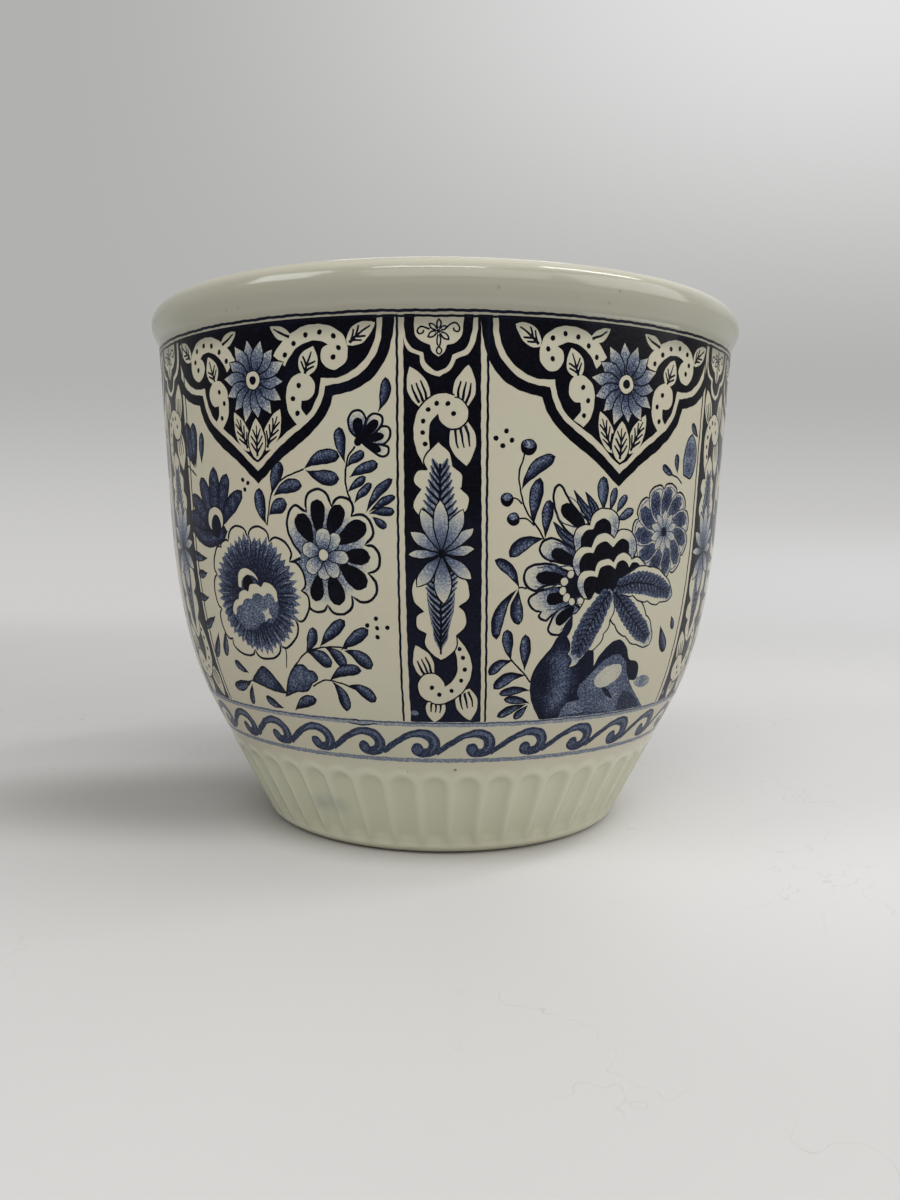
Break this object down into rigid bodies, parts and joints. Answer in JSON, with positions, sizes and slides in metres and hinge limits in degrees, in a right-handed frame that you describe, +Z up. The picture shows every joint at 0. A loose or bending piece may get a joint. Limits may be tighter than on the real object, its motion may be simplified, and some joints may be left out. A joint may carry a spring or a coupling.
{
  "type": "flower pot",
  "caption": "Round earthenware plant pot with a rolled lip, a bowed wall, a fluted skirt and a foot ring, printed with blue and white panels and a wave border.",
  "frame": {"origin": "middle of the flat ring that the pot stands on", "axes": "+Z up along the pot's axis; the middle of one dark column faces -Y"},
  "size_m": [0.2, 0.2, 0.1703],
  "materials": {
    "cream_glaze": "gloss cream glaze over fired earthenware, bare biscuit on the foot ring",
    "line_print": "navy line under gloss glaze",
    "panel_print": "blue floral print on cream under gloss glaze",
    "column_print": "cream ornament on a dark navy printed ground under gloss glaze",
    "border_print": "blue running wave print on cream under gloss glaze"
  },
  "bodies": {
    "root": {"earthenware_body": "cream_glaze", "rim_line_print": "line_print", "panel_print_1": "panel_print", "panel_print_2": "panel_print", "panel_print_3": "panel_print", "panel_print_4": "panel_print", "panel_print_5": "panel_print", "panel_print_6": "panel_print", "column_print_1": "column_print", "column_print_2": "column_print", "column_print_3": "column_print", "column_print_4": "column_print", "column_print_5": "column_print", "column_print_6": "column_print", "wave_border_print_1": "border_print", "wave_border_print_2": "border_print", "wave_border_print_3": "border_print"}
  },
  "joints": []
}
